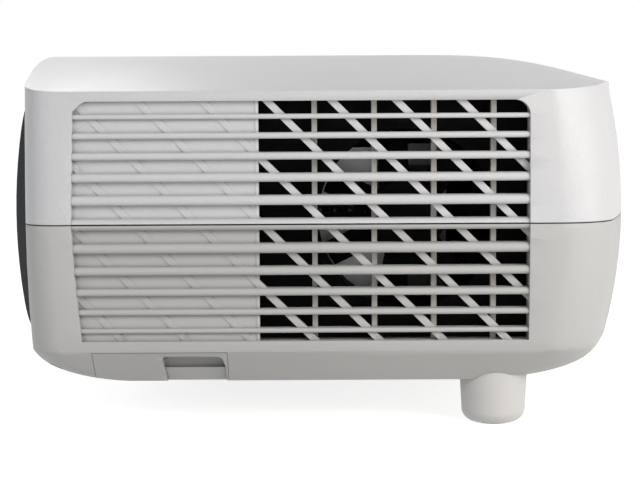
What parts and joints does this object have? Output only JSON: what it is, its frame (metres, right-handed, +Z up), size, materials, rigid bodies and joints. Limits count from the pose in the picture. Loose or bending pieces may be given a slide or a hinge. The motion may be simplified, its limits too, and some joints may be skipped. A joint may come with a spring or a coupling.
{
  "type": "projector with disc player",
  "caption": "Home-cinema projector with a built-in disc player: louvred casing, sliding disc tray, turning lens rings, sprung keys, fans and screw-adjusted front legs.",
  "frame": {"origin": "under the middle of the casing, on the plane of the leg soles", "axes": "+X towards the lens end, +Z up, the louvred side faces -Y"},
  "size_m": [0.3239, 0.34, 0.1863],
  "materials": {
    "pearl_shell": "satin pearl paint",
    "pale_shell": "fine matt moulding",
    "leg_plastic": "satin",
    "dark_gloss": "polished",
    "dark_plastic": "matt",
    "frame_plastic": "matt, dusty",
    "key_plastic": "satin",
    "tray_plastic": "fine matt",
    "white_gear": "natural",
    "sheet_steel": "zinc plated",
    "cast_metal": "as cast",
    "turned_steel": "ground",
    "brass": "turned",
    "board": "solder mask",
    "rubber": "matt",
    "lens_glass": "coated",
    "filter_glass": "dichroic",
    "smoked_window": "smoked",
    "speaker_paper": "felted paper"
  },
  "bodies": {
    "casing": {"casing_screws": "turned_steel", "ceiling_inserts": "brass", "control_boards": "board", "drive_motors": "turned_steel", "exhaust_fan_frame": "dark_plastic", "fan_bracket": "dark_plastic", "fascia_windows": "smoked_window", "filter_frame": "frame_plastic", "front_lens": "lens_glass", "lamp_ballast": "board", "lamp_burner": "lens_glass", "lamp_fan_frame": "dark_plastic", "lamp_housing": "sheet_steel", "lens_barrel": "dark_plastic", "lens_surround": "dark_gloss", "light_engine": "cast_metal", "loader_chassis": "sheet_steel", "loader_lid": "sheet_steel", "lower_shell": "pale_shell", "main_board": "board", "mains_inlet": "dark_plastic", "port_panel": "dark_plastic", "power_supply": "board", "rear_fascia": "dark_gloss", "rear_leg": "leg_plastic", "rear_leg_sole": "rubber", "signal_sockets": "brass", "sled_rails": "turned_steel", "speaker_grilles": "sheet_steel", "speakers": "speaker_paper", "upper_shell": "pearl_shell"},
    "disc_tray": {"disc_tray": "tray_plastic", "tray_front": "dark_gloss"},
    "loading_gear": {"loading_gear": "white_gear"},
    "turntable": {"turntable": "tray_plastic"},
    "clamp_puck": {"clamp_puck": "tray_plastic"},
    "pickup_sled": {"pickup_sled": "cast_metal", "pickup_lens": "lens_glass"},
    "lead_screw": {"lead_screw": "turned_steel"},
    "zoom_ring": {"zoom_ring": "dark_plastic"},
    "focus_ring": {"focus_ring": "dark_plastic"},
    "colour_wheel": {"colour_wheel": "filter_glass"},
    "exhaust_fan_rotor": {"exhaust_fan_rotor": "dark_plastic"},
    "lamp_fan_rotor": {"lamp_fan_rotor": "dark_plastic"},
    "lamp_door": {"lamp_door": "pale_shell"},
    "near_leg_sole": {"near_leg_sole": "rubber"},
    "near_screw_leg": {"near_screw_leg": "leg_plastic"},
    "far_leg_sole": {"far_leg_sole": "rubber"},
    "far_screw_leg": {"far_screw_leg": "leg_plastic"},
    "power_key": {"power_key": "key_plastic"},
    "source_key": {"source_key": "key_plastic"},
    "menu_key": {"menu_key": "key_plastic"},
    "select_key": {"select_key": "key_plastic"},
    "rear_arrow_key": {"rear_arrow_key": "key_plastic"},
    "front_arrow_key": {"front_arrow_key": "key_plastic"},
    "left_arrow_key": {"left_arrow_key": "key_plastic"},
    "right_arrow_key": {"right_arrow_key": "key_plastic"},
    "eject_key": {"eject_key": "key_plastic"},
    "play_key": {"play_key": "key_plastic"},
    "stop_key": {"stop_key": "key_plastic"}
  },
  "joints": [
    {"name": "tray_slide", "type": "slide", "parent": "casing", "child": "disc_tray", "axis": [-1, 0, 0], "range_m": [0, 0.135]},
    {"name": "loading_gear_spin", "type": "hinge", "parent": "casing", "child": "loading_gear", "pos_m": [-0.132, -0.055, 0.112], "axis": [0, 0, 1], "range_deg": [-972, 5]},
    {"name": "turntable_spin", "type": "hinge", "parent": "casing", "child": "turntable", "pos_m": [-0.085, 0, 0.12], "axis": [0, 0, 1], "continuous": true},
    {"name": "clamp_spin", "type": "hinge", "parent": "casing", "child": "clamp_puck", "pos_m": [-0.085, 0, 0.13], "axis": [0, 0, 1], "continuous": true},
    {"name": "sled_slide", "type": "slide", "parent": "casing", "child": "pickup_sled", "axis": [1, 0, 0], "range_m": [0, 0.034]},
    {"name": "lead_screw_spin", "type": "hinge", "parent": "casing", "child": "lead_screw", "pos_m": [-0.045, 0.008, 0.114], "axis": [1, 0, 0], "range_deg": [-5, 4085]},
    {"name": "zoom_turn", "type": "hinge", "parent": "casing", "child": "zoom_ring", "pos_m": [0.12, 0.062, 0.1], "axis": [1, 0, 0], "range_deg": [-25, 25]},
    {"name": "focus_turn", "type": "hinge", "parent": "casing", "child": "focus_ring", "pos_m": [0.13, 0.062, 0.1], "axis": [1, 0, 0], "range_deg": [-60, 60]},
    {"name": "colour_wheel_spin", "type": "hinge", "parent": "casing", "child": "colour_wheel", "pos_m": [-0.038, -0.093, 0.08], "axis": [1, 0, 0], "continuous": true},
    {"name": "exhaust_fan_spin", "type": "hinge", "parent": "casing", "child": "exhaust_fan_rotor", "pos_m": [0.038, -0.13, 0.10355], "axis": [0, -1, 0], "continuous": true},
    {"name": "lamp_fan_spin", "type": "hinge", "parent": "casing", "child": "lamp_fan_rotor", "pos_m": [-0.125, -0.109, 0.072], "axis": [1, 0, 0], "continuous": true},
    {"name": "lamp_door_slide", "type": "slide", "parent": "casing", "child": "lamp_door", "axis": [0, -1, 0], "range_m": [0, 0.04]},
    {"name": "near_leg_extend", "type": "slide", "parent": "casing", "child": "near_leg_sole", "axis": [0, 0, -1], "range_m": [0, 0.012]},
    {"name": "near_leg_turn", "type": "hinge", "parent": "near_leg_sole", "child": "near_screw_leg", "pos_m": [0.0818, -0.1365, 0.02], "axis": [0, 0, 1], "range_deg": [-5, 2885]},
    {"name": "far_leg_extend", "type": "slide", "parent": "casing", "child": "far_leg_sole", "axis": [0, 0, -1], "range_m": [0, 0.012]},
    {"name": "far_leg_turn", "type": "hinge", "parent": "far_leg_sole", "child": "far_screw_leg", "pos_m": [0.0818, 0.1365, 0.02], "axis": [0, 0, 1], "range_deg": [-5, 2885]},
    {"name": "power_press", "type": "slide", "parent": "casing", "child": "power_key", "axis": [0, 0, -1], "range_m": [0, 0.0008], "stiffness_N_per_m": 600, "springref_m": -0.0006},
    {"name": "source_press", "type": "slide", "parent": "casing", "child": "source_key", "axis": [0, 0, -1], "range_m": [0, 0.0008], "stiffness_N_per_m": 600, "springref_m": -0.0006},
    {"name": "menu_press", "type": "slide", "parent": "casing", "child": "menu_key", "axis": [0, 0, -1], "range_m": [0, 0.0008], "stiffness_N_per_m": 600, "springref_m": -0.0006},
    {"name": "select_press", "type": "slide", "parent": "casing", "child": "select_key", "axis": [0, 0, -1], "range_m": [0, 0.0008], "stiffness_N_per_m": 600, "springref_m": -0.0006},
    {"name": "rear_arrow_press", "type": "slide", "parent": "casing", "child": "rear_arrow_key", "axis": [0, 0, -1], "range_m": [0, 0.0008], "stiffness_N_per_m": 600, "springref_m": -0.0006},
    {"name": "front_arrow_press", "type": "slide", "parent": "casing", "child": "front_arrow_key", "axis": [0, 0, -1], "range_m": [0, 0.0008], "stiffness_N_per_m": 600, "springref_m": -0.0006},
    {"name": "left_arrow_press", "type": "slide", "parent": "casing", "child": "left_arrow_key", "axis": [0, 0, -1], "range_m": [0, 0.0008], "stiffness_N_per_m": 600, "springref_m": -0.0006},
    {"name": "right_arrow_press", "type": "slide", "parent": "casing", "child": "right_arrow_key", "axis": [0, 0, -1], "range_m": [0, 0.0008], "stiffness_N_per_m": 600, "springref_m": -0.0006},
    {"name": "eject_press", "type": "slide", "parent": "casing", "child": "eject_key", "axis": [1, 0, 0], "range_m": [0, 0.0008], "stiffness_N_per_m": 600, "springref_m": -0.0006},
    {"name": "play_press", "type": "slide", "parent": "casing", "child": "play_key", "axis": [1, 0, 0], "range_m": [0, 0.0008], "stiffness_N_per_m": 600, "springref_m": -0.0006},
    {"name": "stop_press", "type": "slide", "parent": "casing", "child": "stop_key", "axis": [1, 0, 0], "range_m": [0, 0.0008], "stiffness_N_per_m": 600, "springref_m": -0.0006}
  ],
  "couplings": [
    {"joint": "loading_gear_spin", "follows": "tray_slide", "rad_per_m": -125},
    {"joint": "clamp_spin", "follows": "turntable_spin", "ratio": 1},
    {"joint": "lead_screw_spin", "follows": "sled_slide", "rad_per_m": 2094.4},
    {"joint": "near_leg_turn", "follows": "near_leg_extend", "rad_per_m": 4188.8},
    {"joint": "far_leg_turn", "follows": "far_leg_extend", "rad_per_m": 4188.8}
  ]
}
